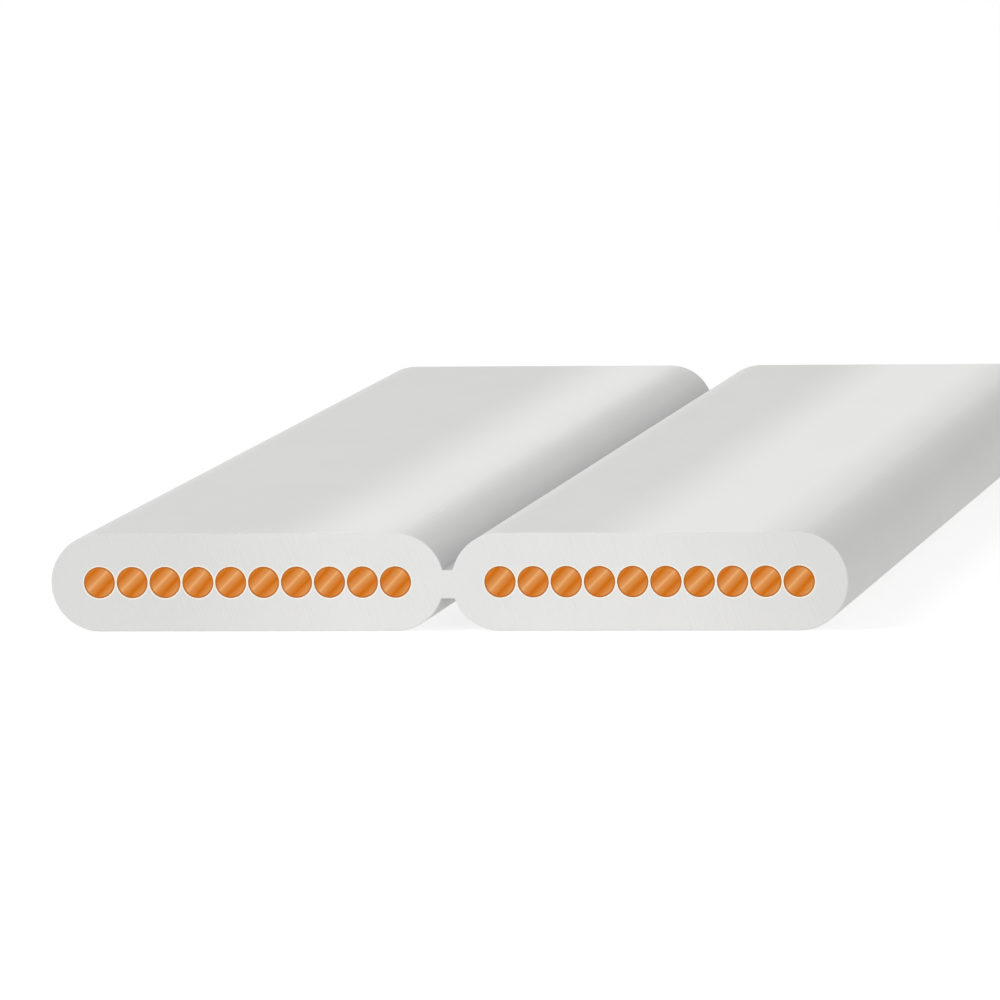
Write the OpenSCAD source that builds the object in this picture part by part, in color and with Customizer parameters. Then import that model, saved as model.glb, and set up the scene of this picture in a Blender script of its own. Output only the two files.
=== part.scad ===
// Flat twin speaker cable: a cut piece that lies flat, with square ends.
// One extruded jacket of soft plastic has two flat lobes side by side. A thin web joins the lobes
// and tears when they are pulled apart. Each lobe holds one row of round copper wires, gripped
// tightly by the plastic and cut flush with it at both ends.
// The cable runs along Y, its width lies along X and its underside is at Z = 0.

/* [Copper] */
// Diameter of one wire
wire_d = 0.64; // [0.3:0.02:1.2]
// Number of wires in the row of each lobe
wires_per_lobe = 10; // [2:1:16]
// Plastic between neighbouring wires of a row
wire_gap = 0.04; // [0.02:0.01:0.4]
// Room between a wire and its bore, none where the plastic is extruded onto the copper
bore_clearance = 0; // [0:0.005:0.015]

/* [Jacket] */
// Plastic above and below a row of wires, and beyond its first and last wire
wall = 0.68; // [0.3:0.02:1.5]
// Distance between the two lobes where their rounded sides come closest
lobe_gap = 0.15; // [0.05:0.01:0.6]
// Thickness of the web that joins the lobes
web_t = 0.58; // [0.2:0.02:0.8]
// How far the middle of the web lies below the middle of the lobes
web_drop = 0.05; // [0:0.01:0.2]

/* [Length] */
// Length of the cut piece
cable_length = 40; // [10:1:200]

/* [Hidden] */
$fn = 64;
copper_colour = "#dc9450";
jacket_colour = "#e8e8e6";

// A lobe is as thick as a wire with a wall on both sides, and its rounded sides are concentric
// with the first and the last wire of the row
wire_pitch = wire_d + wire_gap;
row_w = (wires_per_lobe - 1) * wire_pitch;
lobe_t = wire_d + 2 * wall;
lobe_w = row_w + lobe_t;
lobe_x = (lobe_w + lobe_gap) / 2;
bore_d = wire_d + 2 * bore_clearance;
// The web reaches to the axis of the nearest wire in each lobe, so that it has no loose edge
web_w = lobe_gap + lobe_t;

// Each lobe has a name and the side of the web on which it lies
lobes = [["left", -1], ["right", 1]];

function two_digits(number) = str(number < 10 ? "0" : "", number);
function wire_name(lobe, number) = str(lobe[0], "_wire_", two_digits(number));
function wire_x(lobe, number) = lobe[1] * lobe_x - row_w / 2 + (number - 1) * wire_pitch;

// Lays a section drawn in X and Y across the cable, with its middle at half the lobe's thickness
module along_cable() {
    translate([0, 0, lobe_t / 2])
        rotate([90, 0, 0])
            linear_extrude(height = cable_length, center = true)
                children();
}

// Flat bar with a half-round at each end
module lobe_section() {
    square([row_w, lobe_t], center = true);
    for (end = [-1, 1])
        translate([end * row_w / 2, 0])
            circle(d = lobe_t);
}

module web_section() {
    translate([0, -web_drop])
        square([web_w, web_t], center = true);
}

module jacket_section() {
    difference() {
        union() {
            for (lobe = lobes)
                translate([lobe[1] * lobe_x, 0])
                    lobe_section();
            web_section();
        }
        for (lobe = lobes)
            for (number = [1 : wires_per_lobe])
                translate([wire_x(lobe, number), 0])
                    circle(d = bore_d);
    }
}

module jacket() {
    color(jacket_colour)
        along_cable()
            jacket_section();
}

module wire(lobe, number) {
    color(copper_colour)
        along_cable()
            translate([wire_x(lobe, number), 0])
                circle(d = wire_d);
}

jacket();
for (lobe = lobes)
    for (number = [1 : wires_per_lobe])
        wire(lobe, number);
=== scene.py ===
# %% [markdown]
# # A cut piece of flat speaker cable
#
# The real cable is extruded: two rows of copper wires run through a die, and hot plastic closes
# round them as one jacket with two flat lobes and a thin web. A blade then cuts it square. The
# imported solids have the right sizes, but their circles are coarse polygons. So this lesson measures
# the solids, works each one out again as a fine surface of the same size, and gives it its finish.

import bpy
import numpy as np
from mathutils import Matrix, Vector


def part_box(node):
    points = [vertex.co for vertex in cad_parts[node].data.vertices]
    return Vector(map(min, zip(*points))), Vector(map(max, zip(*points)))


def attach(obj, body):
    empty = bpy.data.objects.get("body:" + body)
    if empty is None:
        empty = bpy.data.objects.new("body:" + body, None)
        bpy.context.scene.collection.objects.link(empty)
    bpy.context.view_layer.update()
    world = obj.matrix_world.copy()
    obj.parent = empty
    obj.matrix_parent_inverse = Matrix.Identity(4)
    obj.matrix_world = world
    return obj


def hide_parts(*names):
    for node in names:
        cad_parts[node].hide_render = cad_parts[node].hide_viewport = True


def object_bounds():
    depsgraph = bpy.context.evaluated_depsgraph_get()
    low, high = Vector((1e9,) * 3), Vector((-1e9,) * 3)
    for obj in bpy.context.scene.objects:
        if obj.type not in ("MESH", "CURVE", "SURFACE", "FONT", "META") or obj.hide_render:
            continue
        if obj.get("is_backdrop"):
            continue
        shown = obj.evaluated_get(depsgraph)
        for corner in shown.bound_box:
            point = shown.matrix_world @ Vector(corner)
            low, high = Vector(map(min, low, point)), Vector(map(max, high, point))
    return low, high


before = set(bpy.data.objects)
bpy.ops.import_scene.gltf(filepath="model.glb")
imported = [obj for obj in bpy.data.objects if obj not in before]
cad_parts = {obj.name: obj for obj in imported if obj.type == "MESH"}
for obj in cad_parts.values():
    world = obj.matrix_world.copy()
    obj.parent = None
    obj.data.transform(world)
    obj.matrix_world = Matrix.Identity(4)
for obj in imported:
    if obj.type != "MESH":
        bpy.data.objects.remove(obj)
cad_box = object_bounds()
print("CAD box in metres:", [list(corner) for corner in cad_box])

# %% [markdown]
# ## Sizes
#
# A piece that is typed in twice drifts apart, so no size of the cable is written here. The wires'
# boxes give their places, their radius and the pitch of the rows. The jacket's box gives the length
# and the thickness, and its points between the lobes give the web. The lobes' round sides are
# concentric with the end wires, so half the thickness is their radius.

# %% Measure the cable
MM = 0.001


def row_of(side):
    """Names of the wires in one lobe, from left to right."""
    return sorted(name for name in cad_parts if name.startswith(side + "_wire"))


wire_names = row_of("left") + row_of("right")
wire_boxes = np.array([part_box(name) for name in wire_names])
wire_x = wire_boxes[:, :, 0].mean(axis=1)
wire_r = np.ptp(wire_boxes[0, :, 0]) / 2
wire_pitch = wire_x[1] - wire_x[0]
per_lobe = len(wire_names) // 2

jacket_low, jacket_high = np.array(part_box("jacket"))
half_length = (jacket_high[1] - jacket_low[1]) / 2
lobe_r = (jacket_high[2] - jacket_low[2]) / 2
mid_z = jacket_low[2] + lobe_r
lobe_x = wire_x[per_lobe:].mean()
lobe_gap = 2 * (wire_x[per_lobe] - lobe_r)

jacket_points = np.array([vertex.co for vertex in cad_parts["jacket"].data.vertices])
web_z = jacket_points[np.abs(jacket_points[:, 0]) < lobe_gap, 2] - mid_z
web_bottom, web_top = web_z.min(), web_z.max()
print(f"{len(wire_names)} wires of {2 * wire_r / MM:.3f} mm, {wire_pitch / MM:.3f} mm apart")
print(f"lobes {2 * lobe_r / MM:.3f} mm thick, {lobe_gap / MM:.3f} mm apart")
print(f"web from {web_bottom / MM:.3f} to {web_top / MM:.3f} mm off the middle")

# %% [markdown]
# ## From grids of points to a mesh
#
# Each surface below is a grid: rows and columns of points from a formula. Two triangles fill the
# space between two rows and two columns. Grids that share an edge have the same points there, so a
# weld by place joins them into one closed skin. A ring is closed in the same way: its last column
# repeats its first. The weld also shrinks some triangles at a pole to nothing, and these are dropped.

# %% Grids into triangles
WELD = 0.0001 * MM


def grid_corners(rows, columns):
    """Point numbers of a grid's triangles. With columns to the right and rows upwards, the normal
    points towards the viewer."""
    number = np.arange(rows * columns).reshape(rows, columns)
    a, b, c, d = number[:-1, :-1], number[:-1, 1:], number[1:, 1:], number[1:, :-1]
    halves = [np.stack([a, b, c], axis=-1), np.stack([a, c, d], axis=-1)]
    return np.concatenate([half.reshape(-1, 3) for half in halves])


def weld(grids):
    """Joins grids of (points, places on the surface) and gives the welded points, the triangles and
    the place of each triangle's corners."""
    points = np.concatenate([grid.reshape(-1, 3) for grid, _ in grids])
    places = np.concatenate([place.reshape(-1, 2) for _, place in grids])
    shapes = [grid.shape[:2] for grid, _ in grids]
    starts = np.cumsum([0] + [rows * columns for rows, columns in shapes])
    corners = np.concatenate([grid_corners(*shape) + start for shape, start in zip(shapes, starts)])
    rounded = np.round(points / WELD).astype(np.int64)
    _, first, merged = np.unique(rounded, axis=0, return_index=True, return_inverse=True)
    triangles = merged.reshape(-1)[corners]
    whole = (triangles != np.roll(triangles, 1, axis=1)).all(axis=1)
    return points[first], triangles[whole], places[corners[whole]]


# %% Checks on triangles
def is_closed(triangles):
    """True if each edge is used once in each direction."""
    edges = np.concatenate([triangles[:, [0, 1]], triangles[:, [1, 2]], triangles[:, [2, 0]]])
    size = triangles.max() + 1
    there = np.sort(edges[:, 0] * size + edges[:, 1])
    back = np.sort(edges[:, 1] * size + edges[:, 0])
    return bool((np.diff(there) > 0).all() and (there == back).all())


def volume(points, triangles):
    """Sum of the signed volumes of the pyramids from the origin to each triangle."""
    a, b, c = points[triangles].transpose(1, 0, 2)
    return (a * np.cross(b, c)).sum() / 6


# %% Triangles into a piece
PLACE = "place"


def make_piece(name, grids):
    """One mesh from grids, with smooth shading and its places as a UV map."""
    points, triangles, places = weld(grids)
    mesh = bpy.data.meshes.new(name)
    mesh.vertices.add(len(points))
    mesh.vertices.foreach_set("co", points.ravel())
    mesh.loops.add(triangles.size)
    mesh.loops.foreach_set("vertex_index", triangles.ravel().astype(np.int32))
    mesh.polygons.add(len(triangles))
    mesh.polygons.foreach_set("loop_start", np.arange(0, triangles.size, 3, dtype=np.int32))
    mesh.update(calc_edges=True)
    mesh.uv_layers.new(name=PLACE).data.foreach_set("uv", places.ravel())
    mesh.shade_smooth()
    piece = bpy.data.objects.new(name, mesh)
    bpy.context.scene.collection.objects.link(piece)
    print(f"{name}: {len(triangles)} triangles, closed: {is_closed(triangles)}, "
          f"{volume(points, triangles) / MM**3:.2f} mm3")
    return piece


# %% [markdown]
# ## The outline of the jacket
#
# Seen on the cut face, the outline is lines and arcs: the flat tops and undersides, the round sides
# of the lobes and the web. A sharp inner corner doesn't come out of a die, so a small root arc joins
# the web to each lobe. Each point gets its outward normal as well, because the outline can then be
# drawn in by any distance along the normals, which keeps arcs as arcs. Only the left half is worked
# out, and its mirror image closes the loop.

# %% Lines and arcs
ROOT_R = 0.02 * MM


def line(start, end, normal, steps):
    """Even points from start to end, all with one normal."""
    share = np.linspace(0, 1, steps + 1)[:, None]
    points = np.array(start) * (1 - share) + np.array(end) * share
    return points, np.broadcast_to(normal, points.shape)


def arc(centre, radius, angles, outward=1):
    """Points on a circle at the given angles. The normal leaves the centre, or looks at it where
    the arc is hollow and outward is -1."""
    ray = np.stack([np.cos(angles), np.sin(angles)], axis=-1)
    return np.array(centre) + radius * ray, outward * ray


def mirrored(path):
    """The same path on the other side of the middle, in the other direction."""
    return tuple(part[::-1] * [-1, 1] for part in path)


def joined(*paths):
    """One path from several that meet end to end, without their repeated points."""
    kept = [tuple(part[:-1] for part in path) for path in paths[:-1]] + [paths[-1]]
    return tuple(np.concatenate(parts) for parts in zip(*kept))


# %% Where the web meets the left lobe
TOP_STEPS, SIDE_STEPS = 5, 36
HALF_STEPS = 2 * TOP_STEPS + SIDE_STEPS
WEB_STEPS, ROOT_STEPS, FLAT_STEPS = 8, 5, 4
ABOVE_STEPS = 18
BELOW_STEPS = HALF_STEPS - WEB_STEPS - ABOVE_STEPS

inner_x = wire_x[per_lobe - 1]


def web_edge(height, up):
    """Upper or lower edge of the web from the left lobe to the middle, and the angle on the lobe at
    which it starts. The root arc's centre is one root radius off the web and off the lobe."""
    centre_z = height + up * ROOT_R
    reach = np.sqrt((lobe_r + ROOT_R) ** 2 - centre_z**2)
    centre = (inner_x + reach, centre_z)
    start = np.arctan2(centre_z, reach)
    turn = np.linspace(start + np.pi, np.pi * (1 + up / 2), ROOT_STEPS + 1)
    root = arc(centre, ROOT_R, turn, outward=-1)
    flat = line((centre[0], height), (0, height), (0, up), FLAT_STEPS)
    return joined(root, flat), start


upper_edge, upper_angle = web_edge(web_top, 1)
lower_edge, lower_angle = web_edge(web_bottom, -1)
outer_angles = np.linspace(np.pi / 2, -np.pi / 2, HALF_STEPS + 1)
inner_angles = np.concatenate([
    np.linspace(np.pi / 2, upper_angle, ABOVE_STEPS + 1)[:-1],
    np.linspace(upper_angle, lower_angle, WEB_STEPS + 1)[:-1],
    np.linspace(lower_angle, -np.pi / 2, BELOW_STEPS + 1),
])
print("the web leaves the lobe between", np.degrees([lower_angle, upper_angle]).round(1), "degrees")

# %% The whole outline
def distance_along(points):
    """Distance of each point of a path from the first one, along the path."""
    return np.append(0, np.hypot(*np.diff(points, axis=0).T).cumsum())


flat_steps = 2 * TOP_STEPS * (per_lobe - 1)
outer_x = wire_x[0]
left_half = joined(
    tuple(part[::-1] for part in lower_edge),
    arc((inner_x, 0), lobe_r, inner_angles[ABOVE_STEPS + WEB_STEPS:]),
    line((inner_x, -lobe_r), (outer_x, -lobe_r), (0, -1), flat_steps),
    arc((outer_x, 0), lobe_r, np.pi - outer_angles[::-1]),
    line((outer_x, lobe_r), (inner_x, lobe_r), (0, 1), flat_steps),
    arc((inner_x, 0), lobe_r, inner_angles[:ABOVE_STEPS + 1]),
    upper_edge,
)
outline, outline_normal = joined(left_half, mirrored(left_half))
girth = distance_along(outline)
print(f"outline of {len(outline)} points, {girth[-1] / MM:.2f} mm round")

# %% [markdown]
# ## The jacket
#
# A Boolean could cut the bores into an extruded outline and a Bevel could round its edges, but both
# leave long thin triangles, which shade badly beside such small rounds. So the grids are laid out by
# formula. The skin carries the outline along the cable. At each end a small quarter round leads it
# into the cut face, because a blade leaves no perfect edge, and the round catches the light. The cut
# face is split into one cell for each wire. In a cell, a point lies on a ray from the wire's axis:
# the first parameter is the ray, and the second runs from the cell's border to the bore, through the
# bore and out to the border at the other end.

# %% The skin
EDGE_R = 0.02 * MM
EDGE_STEPS, LENGTH_STEPS = 6, 24
EDGE_HOLD = 0.05 * MM


def quarter_round(radius, steps):
    """Distances from the corner, across the face and down the side, along a quarter round."""
    angle = np.linspace(0, np.pi / 2, steps + 1)
    return radius * (1 - np.sin(angle)), radius * (1 - np.cos(angle))


def both_ends(depth):
    """Depths behind the front face, then the same places counted from the rear face."""
    return np.concatenate([depth - half_length, half_length - depth[::-1]])


edge_inset, edge_depth = quarter_round(EDGE_R, EDGE_STEPS)
held = half_length - EDGE_R - EDGE_HOLD
along = np.linspace(-held, held, LENGTH_STEPS + 1)
skin_y = np.concatenate([edge_depth - half_length, along, half_length - edge_depth[::-1]])
skin_inset = np.concatenate([edge_inset, np.zeros(len(along)), edge_inset[::-1]])

section = outline - skin_inset[:, None, None] * outline_normal
rows_y = np.broadcast_to(skin_y[:, None], section.shape[:2])
skin = np.stack([section[..., 0], rows_y, mid_z + section[..., 1]], axis=-1)
skin_place = np.stack(np.broadcast_arrays(girth / MM, rows_y / MM), axis=-1)
print("skin of", len(skin_y), "rows, each of", len(outline), "points")

# %% Borders of the cells round the wires
face_r = lobe_r - EDGE_R
corner = np.arctan2(face_r, wire_pitch / 2)
side_z = wire_pitch / 2 * np.tan(np.linspace(corner, -corner, SIDE_STEPS + 1))
top_x = np.linspace(0, wire_pitch / 2, TOP_STEPS + 1)
straight = np.concatenate([
    np.stack([top_x, np.full_like(top_x, face_r)], axis=-1)[:-1],
    np.stack([np.full_like(side_z, wire_pitch / 2), side_z], axis=-1)[:-1],
    np.stack([top_x[::-1], np.full_like(top_x, -face_r)], axis=-1),
])
round_outer = arc((0, 0), face_r, outer_angles)[0]
round_inner = arc((0, 0), face_r, inner_angles)[0]


def lobe_cells(left, right):
    """Borders of a lobe's cells: straight between wires, and round at the lobe's two sides. Each
    runs from the top down the right half and up the left half."""
    rights = [straight] * (per_lobe - 1) + [right]
    lefts = [left] + [straight] * (per_lobe - 1)
    return [np.concatenate([a[:-1], b[::-1] * [-1, 1]]) for a, b in zip(rights, lefts)]


borders = np.array(lobe_cells(round_outer, round_inner) + lobe_cells(round_inner, round_outer))
ray_angle = np.arctan2(borders[..., 1], borders[..., 0])
rays = np.stack([np.cos(ray_angle), np.sin(ray_angle)], axis=-1)
print(len(borders), "cells, each with a border of", borders.shape[1], "points")

# %% From the borders through the bores
LIP_R = 0.005 * MM
LIP_STEPS = 4
FACE_SHARES = np.array([0, 0.06, 0.5, 0.94])

lip_inset, lip_depth = quarter_round(LIP_R, LIP_STEPS)
share = np.concatenate([FACE_SHARES, np.ones(LIP_STEPS + 1)])
bore = np.concatenate([np.full(len(FACE_SHARES), wire_r + LIP_R), wire_r + lip_inset])
depth = np.concatenate([np.zeros(len(FACE_SHARES)), lip_depth])
share, bore = np.append(share, share[::-1]), np.append(bore, bore[::-1])
cell_y = both_ends(depth)

share, bore = share[:, None, None], bore[:, None, None]
cells = borders[:, None] * (1 - share) + rays[:, None] * bore * share
cells[..., 0] += wire_x[:, None, None]
rows_y = np.broadcast_to(cell_y[:, None], cells.shape[:3])
cell_grids = np.stack([cells[..., 0], rows_y, mid_z + cells[..., 1]], axis=-1)[:, :, ::-1]
print("cells of", cells.shape[1], "rings, each of", cells.shape[2], "points")

# %% The ends of the web
def coons(bottom, top, left, right):
    """A patch between four curves: the sum of the two rules that join opposite curves, less the
    bilinear patch of the corners. The share s follows the bottom's length, because even shares
    would fold the patch beside a small root arc."""
    s = (distance_along(bottom) / distance_along(bottom)[-1])[None, :, None]
    t = np.linspace(0, 1, len(left))[:, None, None]
    ruled = (1 - t) * bottom + t * top + (1 - s) * left[:, None] + s * right[:, None]
    low = (1 - s) * bottom[0] + s * bottom[-1]
    high = (1 - s) * top[0] + s * top[-1]
    return ruled - (1 - t) * low - t * high


def drawn_in(path):
    """A path moved in by the edge's radius."""
    return path[0] - EDGE_R * path[1]


web_left = round_inner[ABOVE_STEPS:ABOVE_STEPS + WEB_STEPS + 1][::-1] + [inner_x, 0]
web_face = coons(
    drawn_in(joined(lower_edge, mirrored(lower_edge))),
    drawn_in(joined(upper_edge, mirrored(upper_edge))),
    web_left,
    web_left * [-1, 1],
)


def at_end(y):
    """The web's face at one end of the cable."""
    flat_y = np.full(web_face.shape[:2], y)
    return np.stack([web_face[..., 0], flat_y, mid_z + web_face[..., 1]], axis=-1)


web_ends = [at_end(-half_length), at_end(half_length)[:, ::-1]]
print("web face from", (web_left[0] / MM).round(3), "to", (web_left[-1] / MM).round(3), "mm")

# %% Make the jacket
def across(grid):
    """Place on a cut face: across the cable and up, in millimetres."""
    return grid[..., [0, 2]] / MM


jacket = make_piece(
    "fine_jacket",
    [(skin, skin_place)] + [(grid, across(grid)) for grid in (*cell_grids, *web_ends)],
)
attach(jacket, "root")
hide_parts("jacket")

# %% [markdown]
# ## The wires
#
# Blender's own cylinder would have a sharp rim and flat ends. A cutter doesn't leave copper flat: it
# shears it, and the end keeps low ridges across the direction of the cut. So each wire is turned: a
# profile from the middle of the front end, over a worn rim, along the side and back to the middle of
# the rear end, carried round the axis. The ridges are worked into the surface as a wave, and each
# wire's wave is shifted and turned a little, from a seeded draw.

# %% Profile of a wire
RIM_R = 0.02 * MM
RIM_STEPS, CAP_STEPS, TURN_STEPS = 5, 12, 64
RECESS = 0.004 * MM

rim_inset, rim_depth = quarter_round(RIM_R, RIM_STEPS)
cap_r = np.linspace(0, wire_r - RIM_R, CAP_STEPS + 1)[:-1]
end_r = np.concatenate([cap_r, wire_r - rim_inset])
end_depth = np.concatenate([np.zeros(len(cap_r)), rim_depth])
profile_r = np.append(end_r, end_r[::-1])[None, :, None]
profile_y = both_ends(RECESS + end_depth)[None, :, None]
print("profile of", profile_r.size, "points, turned in", TURN_STEPS, "steps")

# %% Shear ridges on both ends
RIDGE_H = 0.004 * MM
RIDGE_LENGTH = 0.37 * MM
RIDGE_START = -0.04 * MM
RIDGE_ANGLE = np.radians(45)
SHIFT_SPREAD = 0.02 * MM
TURN_SPREAD = np.radians(3)
SEED = 20

draws = np.random.default_rng(SEED)
shift = draws.uniform(-SHIFT_SPREAD, SHIFT_SPREAD, len(wire_names))[:, None, None]
turn = RIDGE_ANGLE + draws.uniform(-TURN_SPREAD, TURN_SPREAD, len(wire_names))[:, None, None]

angle = np.linspace(np.pi / 2, -3 * np.pi / 2, TURN_STEPS + 1)[None, None, :]
local_x, local_z = profile_r * np.cos(angle), profile_r * np.sin(angle)
over = local_x * np.cos(turn) - local_z * np.sin(turn)
beside = local_x * np.sin(turn) + local_z * np.cos(turn)
fade = np.clip((wire_r - profile_r) / RIM_R, 0, 1)
ridge = RIDGE_H * fade * np.sin(2 * np.pi * (over - shift - RIDGE_START) / RIDGE_LENGTH)

wire_grids = np.stack(np.broadcast_arrays(
    wire_x[:, None, None] + local_x,
    profile_y + np.sign(profile_y) * ridge,
    mid_z + local_z,
), axis=-1)
wire_places = np.stack([over - shift, beside], axis=-1) / wire_r
print(f"ridges {RIDGE_H / MM:.3f} mm high, {RIDGE_LENGTH / MM:.2f} mm apart")

# %% Make the wires
wires = []
for name, grid, place in zip(wire_names, wire_grids, wire_places):
    wire = make_piece("fine_" + name, [(grid, place)])
    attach(wire, "root")
    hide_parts(name)
    wires.append(wire)

# %% [markdown]
# ## Shader maths as Python
#
# A pattern is arithmetic on places and noise. Wiring Math nodes by hand hides it, so a small class
# wraps an output socket: an operator on it adds the Math node, and one method adds any other node.
# A Mix node has sockets for each type of data, several of one name, so those for colours go by number.

# %% A term in a shader
NOISE_MEAN = 0.5
MIX_FACTOR, MIX_FIRST, MIX_SECOND, MIX_RESULT = 0, 6, 7, 2


class Term:
    """An output socket in a node tree, with arithmetic."""

    def __init__(self, tree, socket=None):
        self.tree, self.socket = tree, socket

    def node(self, kind, settings=None, inputs=None, output=0):
        """Adds a node of a kind, makes its settings, feeds its inputs and gives one of its outputs."""
        made = self.tree.nodes.new(kind)
        for name, value in (settings or {}).items():
            setattr(made, name, value)
        for name, value in (inputs or {}).items():
            if isinstance(value, Term):
                self.tree.links.new(value.socket, made.inputs[name])
            else:
                made.inputs[name].default_value = value
        return Term(self.tree, made.outputs[output])

    def math(self, operation, *values):
        """A Math node on numbers or terms."""
        return self.node("ShaderNodeMath", {"operation": operation}, dict(enumerate(values)))

    def __add__(self, other):
        return self.math("ADD", self, other)

    def __sub__(self, other):
        return self.math("SUBTRACT", self, other)

    def __rsub__(self, other):
        return self.math("SUBTRACT", other, self)

    def __mul__(self, other):
        return self.math("MULTIPLY", self, other)

    def __truediv__(self, other):
        return self.math("DIVIDE", self, other)

    def __abs__(self):
        return self.math("ABSOLUTE", self)

    __radd__, __rmul__ = __add__, __mul__

    def ramp(self, low, high):
        """0 below low, 1 above high, and an even S between them."""
        limits = {"Value": self, "From Min": low, "From Max": high}
        return self.node("ShaderNodeMapRange", {"interpolation_type": "SMOOTHSTEP"}, limits)

    def mix(self, first, second):
        """First colour where this term is 0, second where it is 1."""
        inputs = {MIX_FACTOR: self, MIX_FIRST: first, MIX_SECOND: second}
        return self.node("ShaderNodeMix", {"data_type": "RGBA"}, inputs, output=MIX_RESULT)

    def axes(self):
        """The three numbers of a vector."""
        split = self.node("ShaderNodeSeparateXYZ", inputs={"Vector": self}).socket.node
        return [Term(self.tree, socket) for socket in split.outputs]

    def noise(self, x, y, z):
        """Noise about zero, at a place given by three terms in units of the noise's own grain."""
        place = self.node("ShaderNodeCombineXYZ", inputs={0: x, 1: y, 2: z})
        return self.node("ShaderNodeTexNoise", inputs={"Vector": place, "Scale": 1.0}) - NOISE_MEAN


# %% Materials
def new_material(name):
    """A material with only its output and a Principled shader, and a term to start from."""
    material = bpy.data.materials.new(name)
    material.use_nodes = True
    tree = material.node_tree
    shader = next(node for node in tree.nodes if node.type == "BSDF_PRINCIPLED")
    return material, shader, Term(tree)


def feed(shader, **values):
    """Sets a shader's sockets by name, with an underscore for a space."""
    for name, value in values.items():
        socket = shader.inputs[name.replace("_", " ")]
        if isinstance(value, Term):
            value.tree.links.new(value.socket, socket)
        else:
            socket.default_value = value


def dress(material, pieces):
    """Gives each piece the material."""
    for piece in pieces:
        piece.data.materials.append(material)
    print(f"{material.name}: {len(material.node_tree.nodes)} nodes, on {len(pieces)} pieces")


# %% [markdown]
# ## The plastic
#
# Soft plastic from a die isn't one flat colour. The die draws fine lines along the cable, and the
# melt leaves a faint grain and mottle. The belts that pull the cable along rub a satin band on each
# flat. The groove between the lobes is painted greyer, as shade. At a cut end the blade leaves drag
# marks.
# The cut face is painted darker towards its left and right ends, as shade, and a pale, warm ring
# round each wire is a painted highlight. A painted picture could show all this, but formulas stay
# sharp at any distance and at any length of cable. The lines follow the skin, so they read the UV
# map, whose first number is the distance round the outline. The rest reads the place on the object.
# All of it works in millimetres.

# %% Marks of the die and of the melt
DIE_LINE, DIE_RUN = 0.06, 9.0
GRAIN = 0.12
MOTTLE, MOTTLE_RUN = 1.6, 5.0
MOTTLE_EDGE = 0.2

jacket_finish, shader, term = new_material("jacket_plastic")
x, y, z = (part / MM for part in term.node("ShaderNodeTexCoord", output="Object").axes())
round_mm, along_mm, _ = term.node("ShaderNodeUVMap", {"uv_map": PLACE}).axes()
die_lines = term.noise(round_mm / DIE_LINE, along_mm / DIE_RUN, 0.0)
grain = term.noise(x / GRAIN, y / GRAIN, z / GRAIN)
mottle = term.noise(x / MOTTLE, y / MOTTLE_RUN, z / MOTTLE).ramp(-MOTTLE_EDGE, MOTTLE_EDGE)
print(f"die lines {DIE_LINE} mm wide, grain of {GRAIN} mm, mottle of {MOTTLE} mm")

# %% Marks of the blade, and painted shade on the cut face
CUT_START_SHARE, CUT_END_SHARE = 0.6, 0.3
DRAG, DRAG_RUN, DRAG_SLANT = 0.05, 1.1, 0.35
# Painted shade on the cut face: darker towards its ends, between these distances off a middle point.
CUT_SHADE_MIDDLE_X, CUT_SHADE_START, CUT_SHADE_END = 1.2, 2.6, 7.6

end_mm, edge_mm = half_length / MM, EDGE_R / MM
cut = abs(y).ramp(end_mm - CUT_START_SHARE * edge_mm, end_mm - CUT_END_SHARE * edge_mm)
drag = term.noise((x + z * DRAG_SLANT) / DRAG, (z - x * DRAG_SLANT) / DRAG_RUN, 0.0)
# Painted shade: 0 in the middle of the cut face, 1 towards its left and right ends.
cut_end_painted_shade = abs(x - CUT_SHADE_MIDDLE_X).ramp(CUT_SHADE_START, CUT_SHADE_END) * cut
print(f"cut faces start {edge_mm * CUT_START_SHARE:.3f} mm from the ends, drag marks {DRAG} mm wide")

# %% Painted highlight round the wires
# Painted highlight: the ring is full this far off each bore, then fades over the second width.
LIP_HIGHLIGHT_FULL, LIP_HIGHLIGHT_BLEND = 0.012, 0.025


def row_place(x):
    """Place along the row of the nearer lobe, counted in wires from 0 at the first."""
    from_middle = x - x.math("SIGN", x) * (lobe_x / MM)
    return from_middle / (wire_pitch / MM) + (per_lobe - 1) / 2


def off_wire(x, z):
    """Distance from the axis of the nearest wire: the root of the squares across and up. Beyond the
    ends of a row, the nearest wire is its first or last."""
    place = row_place(x)
    limits = {"Value": place, "Min": 0.0, "Max": per_lobe - 1.0}
    on_row = place.node("ShaderNodeClamp", inputs=limits)
    across_mm = (place - on_row.math("ROUND", on_row)) * (wire_pitch / MM)
    up_mm = z - mid_z / MM
    squares = across_mm * across_mm + up_mm * up_mm
    return squares.math("SQRT", squares)


# Painted highlight: a pale, warm ring on the cut face round each wire.
lip_highlight_end = wire_r / MM + LIP_HIGHLIGHT_FULL
lip_painted_highlight = (1 - off_wire(x, z).ramp(lip_highlight_end, lip_highlight_end + LIP_HIGHLIGHT_BLEND)) * cut
print(f"plastic is strained pale up to {LIP_HIGHLIGHT_FULL + LIP_HIGHLIGHT_BLEND:.3f} mm from each wire")

# %% Marks of the belts, and painted shade in the groove
BELT_START, START_DRIFT, START_BLEND = 0.385, 0.145, 0.34
BELT_END, END_DRIFT, END_BLEND = 0.85, 0.05, 0.25
# Painted shade in the groove: full up to the first distance from the middle, gone by the second.
GROOVE_SHADE_FULL, GROOVE_SHADE_END = 0.08, 0.42

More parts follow.
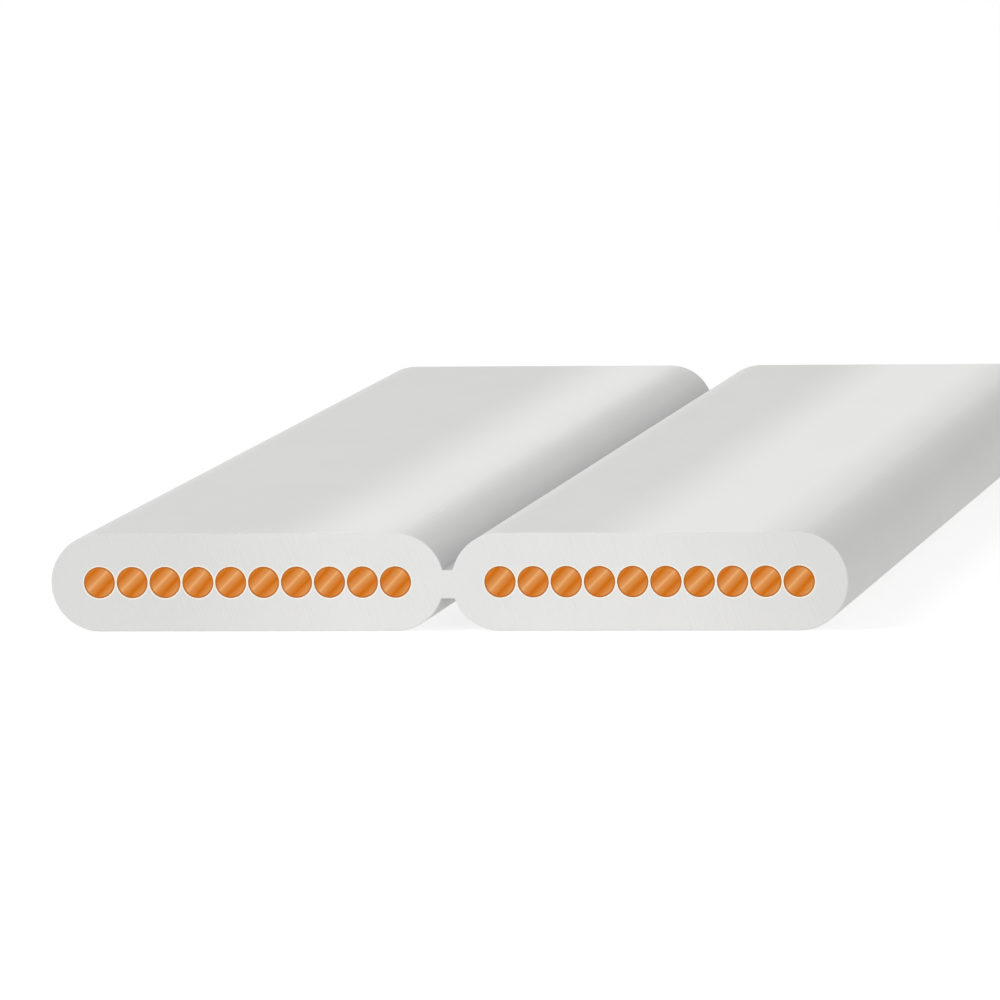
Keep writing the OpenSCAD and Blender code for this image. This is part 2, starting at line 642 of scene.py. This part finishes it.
side = x.math("SIGN", x)
lobe_share = row_place(x) / (per_lobe - 1)
onto_belt = (lobe_share + side * START_DRIFT).ramp(BELT_START, BELT_START + START_BLEND)
off_belt = (lobe_share + side * END_DRIFT).ramp(BELT_END, BELT_END + END_BLEND)
polish = onto_belt * (1 - off_belt) * (1 - cut)
# Painted shade: 1 in the groove between the lobes, 0 on the flats, none on the cut faces.
groove_painted_shade = (1 - abs(x).ramp(GROOVE_SHADE_FULL, GROOVE_SHADE_END)) * (1 - cut)
print(f"belts rub each flat from {BELT_START:.0%} to {BELT_END + END_BLEND:.0%} of its row")
print(f"the groove is dull up to {GROOVE_SHADE_END} mm from the middle")

# %% Jacket finish
PLASTIC = (0.800, 0.800, 0.787, 1.0)
PLASTIC_SHADE = (0.785, 0.785, 0.772, 1.0)
PLASTIC_GROOVE_SHADE = (0.700, 0.700, 0.702, 1.0)
PLASTIC_CUT_SHADE = (0.725, 0.725, 0.712, 1.0)
PLASTIC_LIP_HIGHLIGHT = (0.970, 0.915, 0.790, 1.0)
PLASTIC_IOR = 1.46
MATT, POLISHED, UNEVEN = 0.72, 0.42, 0.1
POLISH_COAT, COAT_ROUGHNESS = 0.62, 0.3
LINE_SHARE = 0.6
RELIEF, RELIEF_H = 1.0, 0.01 * MM

# The skin's colour carries the painted shade of the groove.
skin_colour = groove_painted_shade.mix(mottle.mix(PLASTIC, PLASTIC_SHADE), PLASTIC_GROOVE_SHADE)
height = (die_lines * LINE_SHARE + grain * (1 - LINE_SHARE)) * (1 - cut) + drag * cut
relief = {"Strength": RELIEF, "Distance": RELIEF_H, "Height": height}
feed(
    shader,
    # Base colour: painted shade in the groove and at the ends of the cut face, painted highlight round
    # each wire.
    Base_Color=lip_painted_highlight.mix(cut_end_painted_shade.mix(skin_colour, PLASTIC_CUT_SHADE), PLASTIC_LIP_HIGHLIGHT),
    Roughness=MATT - polish * (MATT - POLISHED) + grain * UNEVEN,
    Coat_Weight=polish * POLISH_COAT,
    Coat_Roughness=COAT_ROUGHNESS,
    Normal=term.node("ShaderNodeBump", inputs=relief),
    IOR=PLASTIC_IOR,
)
dress(jacket_finish, [jacket])

# %% [markdown]
# ## The copper
#
# A sheared end has two kinds of band: burnished copper, pale and smooth, where the blade rubbed it,
# and torn copper, deeper in colour, between. The pale bands also paint in the light that the ridges
# reflect, and the middle of each is a painted highlight, a bright line. The bands belong to the
# ridges in the mesh, so they read the wire's own UV map, whose first number runs across the ridges
# in wire radii, and count the same ridges with the same length and start. Nicks in the blade leave
# fine streaks along the bands, other ones on each wire, so their noise reads the wire's number as
# well. A thin darker ring at the rim is painted shade.

# %% Bands, streaks and rim of a cut wire
RUB = 1.1
STREAK, STREAK_RUN, STREAK_WEIGHT = 0.05, 1.4, 0.6
# Painted shade: a darker ring from the first to the second share of the wire's radius.
RIM_SHADE_START, RIM_SHADE_END = 0.86, 0.95

copper_finish, shader, term = new_material("cut_copper")
over_share, beside_share, _ = term.node("ShaderNodeUVMap", {"uv_map": PLACE}).axes()
ridges = 2 * (over_share * wire_r - RIDGE_START) / RIDGE_LENGTH
crest = 1 - ridges.math("PINGPONG", ridges, 1.0)

x, _, z = (part / MM for part in term.node("ShaderNodeTexCoord", output="Object").axes())
number = row_place(x) + x.math("SIGN", x) * per_lobe
streak = term.noise(over_share / STREAK, beside_share / STREAK_RUN, number.math("ROUND", number))
# Burnish, which also paints in the light the ridges reflect; it sets both colour and roughness.
rubbed_and_sheen = crest * RUB + streak * STREAK_WEIGHT
# Painted shade: a darker ring at the rim of each cut end.
rim = (off_wire(x, z) / (wire_r / MM)).ramp(RIM_SHADE_START, RIM_SHADE_END)
print(f"streaks {STREAK * wire_r / MM:.3f} mm wide, drawn skin from {RIM_SHADE_START:.0%} of the radius")

# %% Copper finish
# Colours: burnished copper with painted sheen, a painted highlight, torn copper, painted rim shade.
BURNISHED_SHEEN = (0.715, 0.315, 0.100, 1.0)
PAINTED_GLINT = (0.800, 0.390, 0.155, 1.0)
TORN = (0.600, 0.152, 0.003, 1.0)
COPPER_RIM_SHADE = (0.540, 0.165, 0.030, 1.0)
PAINTED_GLINT_START = 0.8
TORN_ROUGHNESS, SMOOTHING = 0.50, 0.1
SCRATCH, SCRATCH_H = 1.0, 0.0015 * MM

# Painted highlight on each crest, over the bands of torn copper and burnish with painted sheen.
bands_and_painted_glint = crest.ramp(PAINTED_GLINT_START, 1.0).mix(rubbed_and_sheen.mix(TORN, BURNISHED_SHEEN), PAINTED_GLINT)
scratches = {"Strength": SCRATCH, "Distance": SCRATCH_H, "Height": streak}
feed(
    shader,
    # Base colour: the bands, and the painted shade of the ring at the rim.
    Base_Color=rim.mix(bands_and_painted_glint, COPPER_RIM_SHADE),
    Metallic=1.0,
    Roughness=TORN_ROUGHNESS - rubbed_and_sheen * SMOOTHING,
    Normal=term.node("ShaderNodeBump", inputs=scratches),
)
dress(copper_finish, wires)

# %% [markdown]
# ## Floor and sky
#
# The cable lies on a white light table in a white room. With its glow, the grey table gives about as
# much light as a plain white floor throws back, but it glows under the cable as well, so the web and
# the undersides aren't black. To the camera and to reflections, floor and sky are white without more
# light on the cable: the rest of the white is added for these rays alone, which Light Path tells
# apart. The shadow stays, because the table's own grey still takes the lamps' light.

# %% Rays that see the white
DIRECT_RAYS = ("Is Camera Ray", "Is Glossy Ray", "Is Transmission Ray")


def seen_directly(term):
    """1 for a ray from the camera, and for a reflected or transmitted ray: the largest of the three,
    because one ray can be of two kinds."""
    path = term.node("ShaderNodeLightPath").socket.node
    camera_ray, glossy, clear = (Term(term.tree, path.outputs[kind]) for kind in DIRECT_RAYS)
    return term.math("MAXIMUM", camera_ray, term.math("MAXIMUM", glossy, clear))


# %% Floor
FLOOR_SIZE = 6.0
FLOOR_DROP = 0.01 * MM
FLOOR_COLOUR = (0.45, 0.45, 0.45, 1.0)
FLOOR_GLOW, FLOOR_WHITE = 0.42, 0.27

floor_finish, shader, term = new_material("floor")
feed(shader, Base_Color=FLOOR_COLOUR, Roughness=1.0, Specular_IOR_Level=0.0)
strength = FLOOR_GLOW + seen_directly(term) * FLOOR_WHITE
glow = term.node("ShaderNodeEmission", inputs={"Strength": strength})
both = term.node("ShaderNodeAddShader", inputs={0: Term(term.tree, shader.outputs[0]), 1: glow})
out = next(node for node in term.tree.nodes if node.type == "OUTPUT_MATERIAL")
term.tree.links.new(both.socket, out.inputs["Surface"])

reach = FLOOR_SIZE / 2
corners = [(-reach, -reach), (reach, -reach), (reach, reach), (-reach, reach)]
floor_mesh = bpy.data.meshes.new("floor")
floor_mesh.from_pydata([(*corner, -FLOOR_DROP) for corner in corners], [], [range(len(corners))])
floor = bpy.data.objects.new("floor", floor_mesh)
bpy.context.scene.collection.objects.link(floor)
floor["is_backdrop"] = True
dress(floor_finish, [floor])

# %% Sky
SKY_LIGHT = 0.485
WHITE = (1.0, 1.0, 1.0, 1.0)

world = bpy.data.worlds.new("sky")
bpy.context.scene.world = world
world.use_nodes = True
term = Term(world.node_tree)
background = next(node for node in world.node_tree.nodes if node.type == "BACKGROUND")
feed(background, Color=WHITE, Strength=SKY_LIGHT + seen_directly(term) * (1 - SKY_LIGHT))
print(f"sky of strength {SKY_LIGHT} for the cable, and 1 where it is seen")

# %% [markdown]
# ## Lamps
#
# A sun would draw hard shadows, so two soft square lamps do the rest. The key stands to the left and
# above, so the shoulders that turn to the right fall into shade and the groove shows. The second
# stands in front and lifts the cut face to the level of the flats. It is kept out of reflections,
# because copper would mirror it as a glare.

# %% A soft lamp
def facing(back, place, roll=0.0):
    """Matrix of a thing at a place that looks against the direction back. Its columns are the thing's
    right and up, turned by roll round the line of sight, then back and the place."""
    level = np.cross((0, 0, 1), back)
    level /= np.linalg.norm(level)
    upright = np.cross(back, level)
    right = level * np.cos(roll) + upright * np.sin(roll)
    up = upright * np.cos(roll) - level * np.sin(roll)
    columns = np.column_stack([right, up, back, place])
    return Matrix(np.vstack([columns, (0, 0, 0, 1)]).tolist())


def lamp(name, direction, distance, size, power, in_reflections):
    """A square soft lamp that looks at the middle of the cable from a direction."""
    light = bpy.data.lights.new(name, "AREA")
    light.size, light.energy = size, power
    holder = bpy.data.objects.new(name, light)
    back = np.array(direction) / np.linalg.norm(direction)
    holder.matrix_world = facing(back, back * distance)
    holder.visible_camera = False
    holder.visible_glossy = in_reflections
    bpy.context.scene.collection.objects.link(holder)
    print(f"{name} lamp: {power} W, {size} m wide, {distance} m away")


# %% Key and front lamp
KEY_SIDE = (-0.7, -0.28, 0.63)
FRONT_SIDE = (0.1, -1.0, 0.3)

lamp("key", KEY_SIDE, distance=0.6, size=0.5, power=1.65, in_reflections=True)
lamp("front", FRONT_SIDE, distance=0.5, size=0.3, power=0.62, in_reflections=False)

# %% [markdown]
# ## Camera
#
# The cut end is seen a little from the right and from above, through a long lens that keeps it nearly
# square. The angles, the distance and the lens were found together, by moving them until the cut
# face and the long edges met those of the picture.

# %% Camera
AZIMUTH, ELEVATION, ROLL = np.radians([9.00, 5.44, -1.048])
CAMERA_DISTANCE = 236.9 * MM
TARGET_X, TARGET_Z = 1.106 * MM, 2.668 * MM
FOCAL_PX, IMAGE_PX, SENSOR_MM = 11688, 1000, 36.0
NEAREST, FARTHEST = 0.01, 10.0

across_floor = np.array([np.sin(AZIMUTH), -np.cos(AZIMUTH), 0])
back = across_floor * np.cos(ELEVATION) + np.array([0, 0, np.sin(ELEVATION)])
target = np.array([TARGET_X, -half_length, TARGET_Z])

view = bpy.data.cameras.new("camera")
view.sensor_width = SENSOR_MM
view.lens = FOCAL_PX / IMAGE_PX * SENSOR_MM
view.clip_start, view.clip_end = NEAREST, FARTHEST
camera = bpy.data.objects.new("camera", view)
camera.matrix_world = facing(back, target + back * CAMERA_DISTANCE, ROLL)
bpy.context.scene.collection.objects.link(camera)
bpy.context.scene.camera = camera
bpy.context.scene.view_settings.view_transform = "Standard"
print(f"camera with a {view.lens:.0f} mm lens, {CAMERA_DISTANCE / MM:.1f} mm from the cut end")

# %% [markdown]
# ## Sizes of the finished pieces
#
# The box of the finished pieces is measured beside that of the solids, and the largest departure is
# printed.

# %% Sizes and finish
boxes = {"cad": cad_box, "visual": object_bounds()}
growth = np.abs(np.array(boxes["visual"]) - np.array(boxes["cad"])).max()
print(f"the fine pieces depart from the solids' box by {growth / MM:.3f} mm at most")
